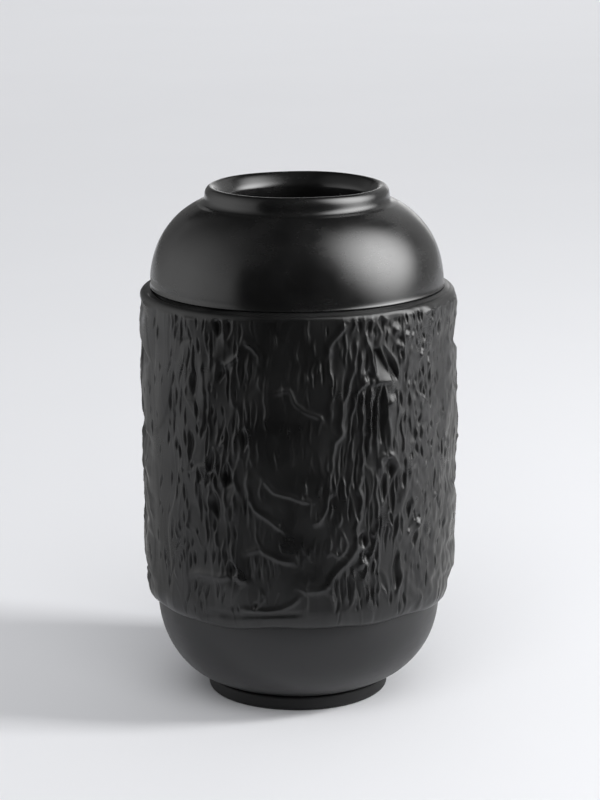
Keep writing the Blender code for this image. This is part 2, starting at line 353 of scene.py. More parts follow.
def body_wall():
    """The upright wall behind the band, seen from inside."""
    low, high = BOWL_RADIUS, SHOULDER_RADIUS
    top, bottom = 232.0, BOWL_LEVEL + 4.0
    half = WALL / 2
    wider, climb = high - low, top - bottom
    profile = [
        (high - WALL, top + LAP), (high - half - GAP, top + LAP), (high - half - GAP, top), (high, top),
    ]
    profile += [
        (low + wider * t, bottom + GAP + (climb - GAP) * t) for t in np.linspace(0.95, 0.0, 8)
    ]
    step = bottom + LAP + GAP
    profile += [(low - half + GAP, bottom + GAP), (low - half + GAP, step), (low - WALL, step)]
    profile += [
        (low - WALL + wider * t, step + (climb - GAP) * t) for t in np.linspace(0.05, 0.97, 12)
    ]
    return lathe("body_wall", spun(profile, turns=160), RAW)


def floor_disc():
    """The pot's floor, let into the bowl; it is a shallow dish where the potter pressed it."""
    low = corner("floor_disc", False)[2]
    step = FLOOR_TOP - 3.1
    dish = FLOOR_TOP - 0.5
    profile = [(0.6, dish)] + [(r, dish + 0.5 * (r / 41.0) ** 2) for r in np.linspace(6, 41, 9)]
    profile += [(42.0, FLOOR_TOP - 0.4), (42.0, step), (37.7, step), (37.7, low + 0.3), (37.2, low)]
    profile += [(r, low + 0.15) for r in np.linspace(32, 6, 6)] + [(0.6, low + 0.2)]
    return lathe("floor_disc", spun(profile, turns=128), RAW)


# ---------------------------------------------------------------- bark band

TURNS = 1200
FACE_TOP = 236.3
FACE_BOTTOM = BAND_BOTTOM + 11.0
RELIEF_LOW, RELIEF_HIGH = 60.0, 243.0
ROW_STEP = 1.0

# Cuts in the front of the bark: (degrees from the front, level of the middle, length, width, lean)
CUTS = [
    (-62, 228.5, 8, 1.3, 0.4), (-59, 223.5, 10, 1.6, 0.15), (-57.5, 204.5, 5, 1.4, 0.1),
    (-47.5, 234, 9, 1.5, 0.05), (-44.5, 229, 20, 1.7, 0.12), (-51.2, 207, 14, 1, 0.35),
    (-44.2, 207, 20, 1.1, 0.28), (-41, 214, 13, 1, 0.15), (-38.6, 213, 20, 1.6, 0.02),
    (-38.8, 200, 15, 2.6, 0.04), (-51, 187.5, 15, 1.8, 0.1), (-47.5, 190, 13, 1.5, 0.08),
    (-45, 188, 19, 1.3, 0.1), (-42.7, 180, 12, 1.4, 0.05), (-49, 174, 17, 1.5, 0.15),
    (-43, 168, 11, 1.8, -0.12), (-41, 164, 18, 2.6, 0.02), (-47.7, 163, 8, 2.2, 0),
    (-52.5, 165, 9, 1.6, 0.05), (-64.5, 167, 10, 1.8, 0.05), (-38, 184, 12, 2, 0),
    (-35.2, 177, 16, 2.3, 0.24), (-33.5, 170, 26, 1.5, 0.08), (-30, 181, 9, 1.6, 0.2),
    (-27.5, 175, 13, 1.4, 0.3), (-32, 157, 15, 3.2, 0.1), (-28.7, 155, 12, 2, 0.1),
    (-26, 151, 13, 3.4, 0), (-25.5, 170, 14, 2, 0), (-24.9, 201, 24, 1.6, 0), (-28, 208, 12, 3.4, 0.15),
    (-31, 224, 14, 1.7, 0.05), (-28.6, 234, 13, 3.4, 0), (-24.4, 235, 12, 1.8, 0),
    (-19, 171, 14, 3, -0.05), (-18.6, 210, 16, 1.5, 0.1), (-16, 209, 14, 1.4, 0.1),
    (-21.9, 222, 9, 1.6, 0.1), (-22, 196, 10, 1.3, 0), (-34, 233, 10, 1.2, 0.1), (-37, 235, 8, 1.2, 0),
    (-19.3, 187, 12, 1.4, 0.05), (-16.9, 186, 13, 1.3, 0.05), (-22.5, 181, 12, 1.6, 0.1),
    (-47, 142.5, 8, 1.7, 0), (-48, 135, 12, 1.2, 0.05), (-44, 135, 13, 1.5, 0),
    (-58.5, 137, 8, 1.5, 0.4), (-51.5, 141, 10, 1.3, 0.2), (-36.5, 129, 19, 2, 0),
    (-37.6, 147, 10, 2.2, 0), (-33.8, 147, 12, 2.2, 0.25), (-30.3, 131, 17, 3.6, -0.14),
    (-26, 147, 9, 3.2, 0), (-34, 116, 19, 1.8, 0), (-31, 119, 9, 1.6, 0), (-24.6, 129, 11, 2, 0.08),
    (-25.3, 115, 15, 1.5, 0), (-23, 117, 8, 1.7, 0), (-18.7, 133, 11, 1.8, 0),
    (-51, 111, 15, 1.5, 0.15), (-47.5, 106, 13, 1.5, 0.3), (-51.5, 90, 16, 1.4, 0.35),
    (-54.5, 79, 8, 1.8, 0.1), (-41, 107, 6, 1.5, 0), (-44.5, 107, 6, 1.2, 0), (-31.5, 101, 10, 1.6, 0),
    (-29, 101, 11, 1.6, 0), (-35, 100, 10, 1.5, 0.05), (-26.5, 101, 10, 1.4, 0), (-42, 96, 10, 1.6, 0),
    (-39.8, 98, 8, 1.7, 0), (-56.5, 94, 9, 2, 0), (-47, 92, 6, 1.6, 0), (-25, 95, 9, 3.2, -0.2),
    (-17.5, 98, 13, 1.5, 0), (-14.2, 98, 13, 1.4, 0), (-11, 97, 12, 1.6, 0), (-9, 98, 10, 1.3, 0),
    (-40, 82, 8, 1.8, 0), (-37.4, 81, 10, 1.7, 0.3), (-34.5, 80, 9, 1.7, 0.3), (-30, 82, 11, 1.9, 0),
    (-27.6, 79, 9, 1.6, 0.3), (-43, 76, 11, 1.7, 0.2), (-24, 72, 5, 1.7, 0), (-21.8, 73, 5, 1.4, 0),
    (-15.5, 75, 5, 2.4, 0), (22.3, 235, 8, 2.2, 0), (26, 233, 9, 2.8, 0.1), (31.2, 234, 10, 3.2, -0.1),
    (28.6, 230, 6, 1.6, 0), (42, 236, 8, 1.6, 0), (45.5, 236, 7, 1.5, 0), (50, 234, 8, 1.9, 0),
    (51, 223, 5, 1.6, -0.2), (57.5, 224, 8, 1.4, 0), (60.8, 225, 10, 2.4, 0.1), (39, 191, 11, 1.7, 0),
    (43, 190, 11, 1.9, 0), (40.6, 179, 8, 1.9, 0.4), (44, 174, 10, 1.4, -0.2), (51, 191, 8, 2.2, 0),
    (52.6, 169, 7, 1.7, 0.2), (49.4, 157, 9, 1.5, -0.2), (63.3, 155, 12, 1.7, 0),
    (24.6, 166, 14, 1.9, 0), (24.6, 190, 16, 1.5, 0), (27.8, 184, 26, 1.6, 0.05),
    (30.6, 184, 34, 3.4, -0.02), (21.3, 186, 22, 1.5, 0.05), (18.6, 172, 20, 1.7, 0.1),
    (25.5, 205, 8, 3, 0), (24.6, 214, 14, 1.8, 0.1), (21.9, 216, 16, 1.4, 0.1), (33, 226, 10, 1.4, 0),
    (34.6, 152, 11, 4.6, 0), (31.3, 142, 17, 2.8, 0.05), (35.2, 135, 19, 2.4, 0.03),
    (26.1, 128, 16, 1.8, 0), (36.2, 116, 17, 2.4, 0.15), (32.2, 112, 16, 1.5, 0.05),
    (23.9, 113, 9, 3.6, 0), (42.5, 126, 11, 2.4, 0), (40.2, 144, 10, 2.4, 0), (57, 138, 14, 1.9, 0.05),
    (46.6, 107, 10, 2.6, 0.1), (52, 121, 5, 1.8, 0.3), (49.6, 99, 14, 1.5, 0), (28.3, 103, 8, 1.6, 0.2),
    (24.6, 103, 8, 3, 0.1), (58.6, 89, 10, 1.9, 0), (52.6, 81, 12, 1.4, 0), (13.5, 86, 15, 1.5, 0),
    (15.8, 85, 18, 1.9, 0), (18.4, 85, 18, 2, 0), (21.4, 86, 17, 1.6, -0.1), (24.2, 84, 18, 1.6, -0.15),
    (26.6, 82, 16, 1.8, -0.15), (31.2, 86, 16, 2.6, -0.35), (37.6, 92, 24, 3.2, 0.04),
    (34.6, 76, 9, 1.8, 0), (40.6, 73, 8, 1.8, 0), (28.8, 76, 10, 1.5, -0.2), (12.6, 202, 12, 1.3, 0.1),
    (9.2, 209, 12, 1.5, 0), (6.6, 206, 10, 1.2, 0.1), (14.8, 160, 16, 1.3, 0.1),
    (20.2, 150, 18, 1.6, 0), (18.2, 132, 16, 1.5, 0), (24.2, 140, 18, 1.6, 0), (29.9, 120, 14, 1.5, 0),
    (14.4, 142, 12, 1.2, 0), (48.5, 176, 6, 1.8, 0.2), (55, 171, 5, 2, 0), (47, 228, 6, 1.2, 0),
]

# Raised lines in the front: (height, half width, points of degrees and level)
RIDGES = [
    (1, 1.7, (-26, 241), (-26.6, 232), (-25.5, 224)), (0.7, 0.9, (-22.2, 240), (-23, 231), (-25, 224)),
    (1.1, 1.6, (-29, 208), (-25.5, 213), (-21.5, 217.5), (-20, 222)),
    (1.1, 1.6, (-19.5, 227), (-15.5, 223), (-13, 218.5), (-13.6, 212)),
    (1.1, 1.7, (-22.8, 214), (-23.6, 200), (-22.6, 187)), (0.7, 0.8, (-17, 219), (-16.6, 204)),
    (0.6, 0.8, (-14, 212), (-14.6, 204)), (0.7, 0.8, (-20.3, 223), (-20.6, 212)),
    (0.6, 0.8, (-9.6, 220), (-10, 211)), (0.9, 1, (-10.6, 206), (-11.6, 200), (-11, 190), (-11.2, 181)),
    (0.9, 1.2, (-10, 197), (-6, 200), (-3, 200), (-1.6, 195), (0.4, 191), (3.6, 187), (8, 184),
     (9.6, 179)),
    (0.7, 0.8, (-17.8, 194), (-17.6, 181)), (0.7, 0.8, (-15.8, 193), (-16.2, 180)),
    (0.6, 0.8, (-20.8, 191), (-20.4, 177)), (0.5, 0.7, (-2, 174), (-2.2, 157)),
    (0.4, 0.8, (-6.6, 174), (-3.8, 184)), (0.6, 0.8, (-13.6, 171), (-13.4, 157)),
    (0.7, 1, (-19, 182), (-17, 175), (-16.4, 164), (-15.2, 155)), (0.6, 0.7, (-5, 228), (-3, 227)),
    (0.6, 0.7, (-3.8, 212), (-4, 204)), (0.8, 0.8, (3.4, 239), (3.8, 226)),
    (1.2, 1.7, (17.5, 237), (13.2, 229), (11, 224), (10.4, 217)),
    (0.7, 0.8, (10.4, 219), (6.4, 216), (5, 210), (5.6, 203)), (0.9, 0.7, (7.6, 217), (8.2, 207)),
    (0.7, 0.7, (11.2, 217), (12.2, 205)), (0.9, 0.8, (17, 231), (17.2, 212)),
    (0.5, 0.8, (14, 228), (15, 222)),
    (1.2, 1.4, (21.6, 227), (20.6, 214), (19, 207), (17, 197), (15.6, 190), (15, 182), (15, 174),
     (12.6, 168)),
    (0.9, 1, (12.6, 170), (11.8, 158), (11, 150), (10.6, 140), (10, 133), (8.6, 127), (6, 124)),
    (0.7, 1.3, (13.6, 207), (12, 198), (11, 189), (11.4, 182)), (0.8, 0.8, (23.2, 219), (22, 204)),
    (1, 1, (26, 226), (27, 216), (27.6, 205)),
    (1.2, 1.3, (20.4, 195), (22, 200), (25, 203.5), (27.5, 201)),
    (1.1, 0.9, (23, 199), (23, 175), (23.2, 152)), (1, 1, (26, 200), (26.4, 180), (26, 163)),
    (0.9, 1.1, (29, 191), (29, 178), (28.6, 164)),
    (0.8, 0.9, (20, 196), (19.6, 190), (18, 180), (19, 158)),
    (0.8, 1.5, (34, 182), (34.2, 172), (34.6, 163)),
    (0.9, 1.3, (30, 150), (30.2, 158), (33, 162), (36, 158), (38.4, 150)),
    (0.9, 1.5, (-23, 152), (-22, 144), (-20.6, 138)),
    (1.1, 1.3, (-17.4, 152), (-17, 137), (-15, 131), (-10, 126), (-4, 119.5)),
    (0.9, 1.3, (-13, 151), (-8, 142), (-3, 140), (0, 138), (4.6, 136.5)),
    (0.6, 0.7, (-14.6, 125), (-15, 117), (-13.6, 111), (-12, 106)), (0.6, 0.7, (-11, 120), (-12, 112)),
    (0.5, 0.7, (-6, 118), (-5.8, 108)),
    (0.8, 1.5, (-19.5, 106), (-14, 109), (-10, 106), (-6, 103), (-1.5, 102)),
    (0.6, 0.7, (-15.6, 105), (-15.8, 91)), (0.6, 0.7, (-12.6, 105), (-12.8, 90)),
    (0.5, 0.7, (-7, 103), (-7.4, 93)), (0.6, 0.7, (2, 150), (2.2, 139)),
    (0.5, 0.7, (3.6, 137), (4.2, 127)), (0.8, 0.8, (15.4, 150), (16.6, 142), (17, 135)),
    (1, 1.3, (22.6, 150), (21.4, 142), (22.6, 134), (22, 125), (20.6, 117), (21.4, 108)),
    (0.8, 0.9, (28.4, 150), (28, 140), (29, 128), (29, 112), (29.4, 99)),
    (0.7, 0.6, (12.8, 124), (13.2, 116)), (0.7, 0.8, (15.4, 120), (17, 110)),
    (0.7, 0.8, (10, 106), (12, 107), (14, 104), (16, 107), (17.6, 111)),
    (1.3, 1.9, (11, 84), (11.8, 91), (14, 95), (17, 100), (20, 106), (22.4, 110)),
    (0.9, 1.2, (22, 97), (26, 103), (28, 109)), (0.8, 1.6, (0, 87), (3, 84), (8, 84), (11, 86)),
    (0.8, 0.9, (17, 96), (17.2, 78)), (0.8, 0.9, (19.8, 96), (20.4, 78)),
    (0.9, 1, (22.6, 94), (24.6, 84), (25.6, 74)), (0.9, 1.2, (28.4, 96), (31.6, 84), (33.6, 76)),
    (0.8, 1.2, (40.6, 90), (38.6, 82), (37, 74)), (0.5, 0.7, (1.8, 116), (2.2, 107)),
    (0.5, 0.7, (6, 114), (5, 106)), (0.9, 1.1, (-33.4, 184), (-32.6, 168)),
    (0.7, 0.9, (-29, 178), (-29.6, 166)), (0.7, 0.9, (-22, 176), (-23, 160)),
    (0.8, 0.8, (-33, 141), (-33.4, 122)), (0.8, 0.9, (-27.4, 160), (-28, 143)),
    (0.7, 0.9, (-26.6, 140), (-26.4, 122)), (0.8, 0.9, (-22.6, 140), (-23.6, 126)),
    (0.7, 0.7, (-27.4, 112), (-28, 98)), (0.6, 0.7, (-24, 112), (-24.4, 100)),
]

# Broad swellings and hollows in the front: (degrees, level, half width, half height, height)
SWELLINGS = [
    (31.5, 212, 3.2, 9, 1.5), (34.6, 192, 4.6, 8, 1.1), (38, 229, 4, 5, 0.8), (50, 214, 3.4, 3.6, 0.8),
    (48, 117, 3, 3.4, 1), (-33, 199, 5.5, 8, 0.9), (7, 125, 3, 2.6, 0.9), (43.5, 199, 2.2, 6, 0.6),
    (54.6, 209, 1.8, 8, 0.6), (57, 130, 5, 3.4, 0.6), (-2, 225, 12, 12, -0.5), (0, 160, 14, 14, -0.5),
    (-6, 128, 7, 9, -0.6), (3, 98, 10, 8, -0.5), (-16, 200, 6, 9, -0.4), (18, 178, 3, 14, -0.5),
    (92, 172, 30, 30, 1.3), (-90, 84, 22, 12, -1.1), (90, 73, 20, 5, -1.4), (92, 128, 20, 16, 1.1),
    (-88, 150, 10, 8, 0.5), (-90, 112, 10, 8, 0.5), (64, 178, 4, 5, -0.6), (68, 137, 4, 6, -0.5),
    (-43, 228, 3.5, 7, -0.6), (-38, 200, 3, 12, -0.7), (-27, 209, 4, 9, -0.9), (-29, 231, 3, 6, -0.8),
    (-30, 178, 6, 10, -0.7), (-31, 131, 4, 9, -0.8), (-24, 147, 4, 6, -0.7), (-40, 168, 4, 8, -0.5),
    (-24, 93, 4, 6, -0.8), (-48, 214, 5, 9, 0.5), (-56, 190, 6, 16, 0.4), (-42, 152, 6, 8, 0.6),
    (-36, 90, 9, 3.5, 0.8), (-50, 122, 7, 9, 0.4), (-62, 160, 8, 12, 0.3), (13, 214, 2.5, 8, -0.5),
    (67, 104, 4, 6, -0.5), (62, 190, 3, 5, -0.5), (68, 214, 3, 4, -0.5),
]

# Cut faces that catch the light: (degrees, level, half width, half height, tilt, turn)
FACETS = [
    (27, 229.5, 1.6, 2.6, 0.4, 0.1), (33.6, 230, 1.9, 3.4, 0.5, 0),
    (37.6, 231.5, 2.1, 3.6, 0.56, -0.05), (38.8, 222, 1.7, 3.6, 0.54, 0),
    (42, 227, 1.5, 2.8, 0.52, -0.1), (44.8, 226, 1.2, 2.4, 0.5, -0.1),
    (49.4, 214.5, 1.6, 3, 0.55, -0.15), (54.2, 209, 1, 4, 0.4, -0.2),
    (43.2, 199.5, 1.1, 2.8, 0.42, -0.1), (46.4, 198, 1, 2.6, 0.42, -0.1),
    (47.6, 117, 1.5, 3.6, 0.6, -0.1), (43, 113, 0.8, 2.2, 0.55, 0), (33.5, 160, 3, 2.6, 0.45, 0),
    (35, 192, 2.6, 4, 0.32, 0.05), (24, 203, 2.4, 2, 0.4, 0.1), (57, 196, 1.2, 2.6, 0.5, -0.2),
    (52, 150, 1.3, 2.4, 0.45, -0.2), (58, 130, 1.6, 2.6, 0.45, -0.2), (16.5, 104, 2, 2, 0.3, 0.2),
]

# The outline of each side as seen from the front: (level, millimetres in or out)
LEFT_OUTLINE = [
    (62, 0), (78, -3.5), (85, 0), (101, -0.5), (108, -2.5), (116, -4), (122, -1.5), (138, -3),
    (147, -1.5), (162, -3.5), (170, -1.5), (189, -0.5), (200, -2), (212, -3), (218, 0), (237, -1.5),
    (242, 0),
]
RIGHT_OUTLINE = [
    (68, -1), (75, 2.5), (118, 2), (126, -1), (139, -1), (166, 0.5), (184, -1), (207, 0), (211, -2),
    (221, 0), (232, 1.5), (241, 0),
]


class Relief:
    """Height of the bark over the unrolled face, in millimetres, on a grid of turn and level."""

    def __init__(self, seed):
        self.turn = np.arange(TURNS) * (math.tau / TURNS)
        self.girth = math.tau * BAND_RADIUS
        self.level = np.arange(RELIEF_LOW, RELIEF_HIGH, 0.7)
        self.height = np.zeros((self.level.size, TURNS))
        self.taken = np.zeros(self.height.shape, dtype=bool)
        self.random = np.random.default_rng(seed)

    def degrees(self):
        """Angle of every column from the front, -180 to 180."""
        return (np.degrees(self.turn) + 180.0) % 360.0 - 180.0

    def window(self, across, level, reach_across, reach_level):
        """Grid indices near a point, with their distances from it along and up."""
        step = self.girth / TURNS
        first, last = (across - reach_across) // step, (across + reach_across) // step
        columns = np.arange(int(first), int(last) + 2)
        low, high = np.searchsorted(self.level, (level - reach_level, level + reach_level))
        rows = np.arange(low, high)
        along, up = columns * step - across, self.level[rows] - level
        return np.ix_(rows, columns % TURNS), along[None, :], up[:, None]

    def grain(self, wide, tall):
        """Smooth random grain of unit strength, `wide` by `tall` millimetres, closed round the pot."""
        noise = self.random.standard_normal(self.height.shape)
        along = np.fft.fftfreq(TURNS, self.girth / TURNS)[None, :]
        upward = np.fft.fftfreq(self.level.size, self.level[1] - self.level[0])[:, None]
        keep = np.exp(-2.0 * math.pi ** 2 * ((along * wide) ** 2 + (upward * tall) ** 2))
        field = np.real(np.fft.ifft2(np.fft.fft2(noise) * keep))
        return field / field.std()

    def cut(self, degrees, level, length, width, lean, depth, sway=0.0, phase=0.0):
        """A lens-shaped cut with sharp ends and slightly raised banks."""
        reach = width * 2.2 + abs(lean) * length / 2 + abs(sway) + 1.0
        across = math.radians(degrees) * BAND_RADIUS
        where, dx, dz = self.window(across, level, reach, length / 2)
        part = 2.0 * dz / length
        along = np.clip(1.0 - part ** 2, 0.0, 1.0)
        middle = lean * dz + sway * np.sin(dz * 0.45 + phase)
        half = 0.5 * width * (0.3 + 0.7 * along) * (1.0 + 0.35 * math.sin(1.7 * phase) * part)
        x = (dx - middle) / half
        steep = 0.3 * math.sin(2.9 * phase)
        x = np.abs(np.where(x > 0.0, x * (1.0 + steep), x * (1.0 - steep)))
        trough = np.exp(-(x ** 2.2))
        bank = np.exp(-(((x - 2.1) / 0.8) ** 2))
        self.height[where] += along ** 0.6 * depth * (0.17 * bank - trough)
        self.taken[where] |= (x < 2.0) & (along > 0.05)

    def ridge(self, height, width, *points):
        """A raised line through (degrees, level) points, tapering at both ends."""
        line = np.array([(math.radians(a) * BAND_RADIUS, z) for a, z in points])
        middle = (line.min(axis=0) + line.max(axis=0)) / 2
        half = (line.max(axis=0) - line.min(axis=0)) / 2 + width * 3.0
        where, dx, dz = self.window(middle[0], middle[1], half[0], half[1])
        px, pz = middle[0] + dx + 0.0 * dz, middle[1] + dz + 0.0 * dx
        px = px + 0.35 * np.sin(pz * 0.55 + line[0, 0])
        best = np.full(px.shape, 1e9)
        for (ax, az), (bx, bz) in zip(line[:-1], line[1:]):
            ex, ez = bx - ax, bz - az
            t = np.clip(((px - ax) * ex + (pz - az) * ez) / (ex * ex + ez * ez), 0.0, 1.0)
            best = np.minimum(best, np.hypot(px - ax - t * ex, pz - az - t * ez))
        from_first, from_last = (np.hypot(px - end[0], pz - end[1]) for end in (line[0], line[-1]))
        taper = 0.3 + 0.7 * smooth(np.minimum(from_first, from_last), 0.0, 4.0)
        self.height[where] += height * taper * np.exp(-((best / width) ** 2))
        self.taken[where] |= best < width * 0.9

    def lump(self, degrees, level, wide, tall, height):
        """A soft swelling, or a hollow where height is negative."""
        where, dx, dz = self.window(math.radians(degrees) * BAND_RADIUS, level, wide * 2.4, tall * 2.4)
        self.height[where] += height * np.exp(-((dx / wide) ** 2) - (dz / tall) ** 2)

    def bend(self, reach):
        """Push the pattern about by `reach` millimetres or so, so that no line is straight."""
        across = reach * self.grain(5.0, 8.0) * TURNS / self.girth + np.arange(TURNS)[None, :]
        upward = reach * self.grain(6.0, 6.0) / (self.level[1] - self.level[0])
        upward = np.clip(upward + np.arange(self.level.size)[:, None], 0.0, self.level.size - 1.001)
        column, row = np.floor(across).astype(int), upward.astype(int)
        right, above = across - column, upward - row
        column, beside = column % TURNS, (column + 1) % TURNS
        low = self.height[row, column] * (1.0 - right) + self.height[row, beside] * right
        high = self.height[row + 1, column] * (1.0 - right) + self.height[row + 1, beside] * right
        self.height = low * (1.0 - above) + high * above

    def facet(self, degrees, level, wide, tall, tilt, turn):
        """A flat cut face: tilt makes it look up, turn makes it look to the right."""
        where, dx, dz = self.window(math.radians(degrees) * BAND_RADIUS, level, wide * 1.6, tall * 1.6)
        self.height[where] -= np.exp(-((dx / wide) ** 4) - (dz / tall) ** 4) * (tilt * dz + turn * dx)
        self.taken[where] |= (np.abs(dx) < wide) & (np.abs(dz) < tall)

    def gouge(self, degrees, level):
        """A long three-sided facet that looks up, pointed at its top and cut in deepest there."""
        where, dx, dz = self.window(math.radians(degrees) * BAND_RADIUS, level, 12.0, 15.0)
        inside = smooth(dx, -6.2, -4.2) * (1.0 - smooth(dx + 0.45 * dz, 0.6, 2.4))
        inside = inside * (1.0 - smooth(np.abs(dz), 9.0, 11.0))
        self.height[where] = self.height[where] * (1.0 - 0.7 * inside) - inside * (0.27 * dz + 0.8)
        self.taken[where] |= inside > 0.5

    def free(self, degrees, level, length, lean):
        """Whether a new cut there would stay clear of what is already placed."""
        for part in (-0.4, 0.0, 0.4):
            across = math.radians(degrees) * BAND_RADIUS + lean * length * part
            row = np.searchsorted(self.level, level + length * part)
            column = int(round(across / self.girth * TURNS)) % TURNS
            if row >= self.level.size or self.taken[row, column]:
                return False
        return True

    def strokes(self, seed, first, last, low, high, count, length, height, width):
        """Random short raised lines that run down the bark."""
        rng = np.random.default_rng(seed)
        for _ in range(count):
            degrees, level = rng.uniform(first, last), rng.uniform(low, high)
            long, drift = rng.uniform(*length), rng.normal(0.0, 0.5, 2)
            if self.free(degrees, level, long * 0.6, 0.0):
                self.ridge(
                    rng.uniform(*height), rng.uniform(*width), (degrees, level + long / 2),
                    (degrees + drift[0], level), (degrees + drift[1], level - long / 2),
                )

    def scatter(self, seed, first, last, low, high, tries, length, width, lean, depth=1.0):
        """Random cuts between two angles and two levels, kept off each other."""
        self.random = rng = np.random.default_rng(seed)
        crowd = self.grain(8.0, 13.0)
        for _ in range(tries):
            degrees, level = rng.uniform(first, last), rng.uniform(low, high)
            column = int(math.radians(degrees) / math.tau * TURNS) % TURNS
            if crowd[np.searchsorted(self.level, level), column] < rng.uniform(-1.2, 0.6):
                continue
            size = rng.uniform() ** 1.7
            long = length[0] + (length[1] - length[0]) * size
            wide = width[0] + (width[1] - width[0]) * (0.6 * size + 0.4 * rng.uniform())
            tilt = rng.normal(lean, 0.13)
            sway, phase, deep = rng.uniform(0.0, 0.5), rng.uniform(0.0, 6.0), rng.uniform(0.7, 1.15)
            if self.free(degrees, level, long, tilt):
                deep = deep * depth * (0.5 + 0.4 * wide)
                self.cut(degrees, level, long, wide, tilt, deep, sway, phase)

    def wander(self, degrees, level, steps, height, width):
        """A random raised line that works its way down the bark."""
        points = [(degrees, level)]
        slant = self.random.uniform(-0.5, 0.5)
        for _ in range(steps):
            slant = np.clip(slant + self.random.normal(0.0, 0.45), -1.6, 1.6)
            degrees += slant * 4.0
            level -= self.random.uniform(4.0, 9.0)
            if level < 72.0:
                break
            points.append((degrees, level))
        if len(points) > 2:
            self.ridge(height, width, *points)


def bark_relief():
    """The whole pattern: the general bark, the features of the front, then the rest of the girth."""
    bark = Relief(61)
    degrees = bark.degrees()[None, :]
    for strength, wide, tall in ((0.40, 14.0, 18.0), (0.26, 5.0, 9.0), (0.03, 1.1, 5.0)):
        bark.height += strength * bark.grain(wide, tall)
    # dense bark in two stripes in front, and in patches behind
    stripes = [np.exp(-(((degrees - middle) / 17.0) ** 2)) for middle in (-34.0, 27.0)]
    patchy = 0.35 + 0.65 * smooth(bark.grain(22.0, 45.0), -0.6, 0.6)
    dense = np.maximum(np.maximum(*stripes), smooth(np.abs(degrees), 68.0, 92.0) * patchy)
    plates = np.tanh(bark.grain(5.5, 13.0) / 0.14)
    bark.height += plates * (0.14 + 0.18 * dense)
    network = np.exp(-(bark.grain(2.2, 9.0) / 0.2) ** 2)
    bark.height += 0.30 * network * dense
    pebbles = bark.grain(1.4, 2.0)
    bark.height += 0.22 * pebbles * smooth(degrees, 33.0, 44.0) * (1.0 - smooth(degrees, 70.0, 95.0))
    for row in SWELLINGS:
        bark.lump(*row)
    for row in RIDGES:
        bark.ridge(*row)
    for degrees_at, level, length, width, lean in CUTS:
        slim = width * (0.72 + 0.28 * float(smooth(width, 1.8, 3.0)))
        bark.cut(degrees_at, level, length, slim, lean, 0.5 + 0.42 * slim, 0.25, level)
    for row in FACETS:
        bark.facet(*row)
    # a bright three-sided facet with a deep dark side
    bark.gouge(31.4, 210.5)
    bark.cut(34.1, 212.0, 20.0, 3.6, -0.5, 2.4)
    # a shallow fold that joins two cuts, then the folds above the lower edge
    bark.ridge(-0.8, 0.9, (-47, 223), (-42, 223.5), (-38.5, 225))
    bark.ridge(-1.1, 1.1, (-38, 66.5), (-30, 68.5), (-20, 69.0), (-10, 70.0), (1, 71.5))
    bark.ridge(0.9, 1.3, (-21, 72.6), (-12, 72.2), (-6, 74), (-2, 77), (0.4, 81))
    bark.ridge(0.6, 1.8, (-44, 86), (-38, 89.6), (-30, 89.4), (-24, 91.6), (-18, 89))
    # the two sides, over a width that varies with the level
    for side, outline in ((-84.0, LEFT_OUTLINE), (84.0, RIGHT_OUTLINE)):
        aside = degrees - side
        shift = np.interp(bark.level[:, None] + 0.45 * aside, *zip(*outline))
        reach = 12.5 + 3.0 * np.sin(bark.level / 4.3 + side) + 1.5 * np.sin(bark.level / 1.9)
        bark.height += shift * np.exp(-np.abs(aside / reach[:, None]) ** 3)
    # lesser cuts between them
    bark.scatter(1, -80, -52, 68, 236, 45, (4, 11), (0.7, 1.2), 0.1, 0.8)
    bark.scatter(2, -52, -18, 66, 237, 120, (4, 13), (0.7, 1.7), 0.1)
    bark.scatter(3, -18, 10, 72, 238, 40, (4, 10), (0.7, 1.0), 0.02, 0.6)
    bark.scatter(4, 10, 42, 66, 238, 100, (4, 17), (0.7, 1.6), 0.02)
    bark.scatter(5, 42, 80, 68, 237, 160, (3, 10), (0.8, 1.7), 0.0, 0.9)
    bark.strokes(6, -50, -16, 68, 236, 60, (5, 14), (0.5, 0.9), (0.6, 0.9))
    bark.strokes(7, -18, 11, 76, 236, 90, (5, 13), (0.3, 0.7), (0.6, 0.9))
    bark.strokes(8, 9, 44, 68, 237, 90, (6, 18), (0.5, 1.0), (0.6, 1.0))
    bark.strokes(9, 44, 72, 70, 236, 50, (4, 9), (0.4, 0.8), (0.6, 1.0))
    # the rest of the way round
    rng = np.random.default_rng(10)
    for _ in range(34):
        start = rng.uniform(82, 278), rng.uniform(110, 234)
        bark.wander(*start, rng.integers(3, 8), rng.uniform(0.7, 1.2), rng.uniform(0.9, 1.7))
    bark.scatter(11, 80, 280, 64, 237, 1000, (4, 24), (0.7, 2.4), 0.05)
    bark.strokes(12, 80, 280, 66, 237, 240, (5, 16), (0.4, 0.9), (0.6, 1.0))
    bark.random = np.random.default_rng(13)
    bark.bend(0.35)
    return bark


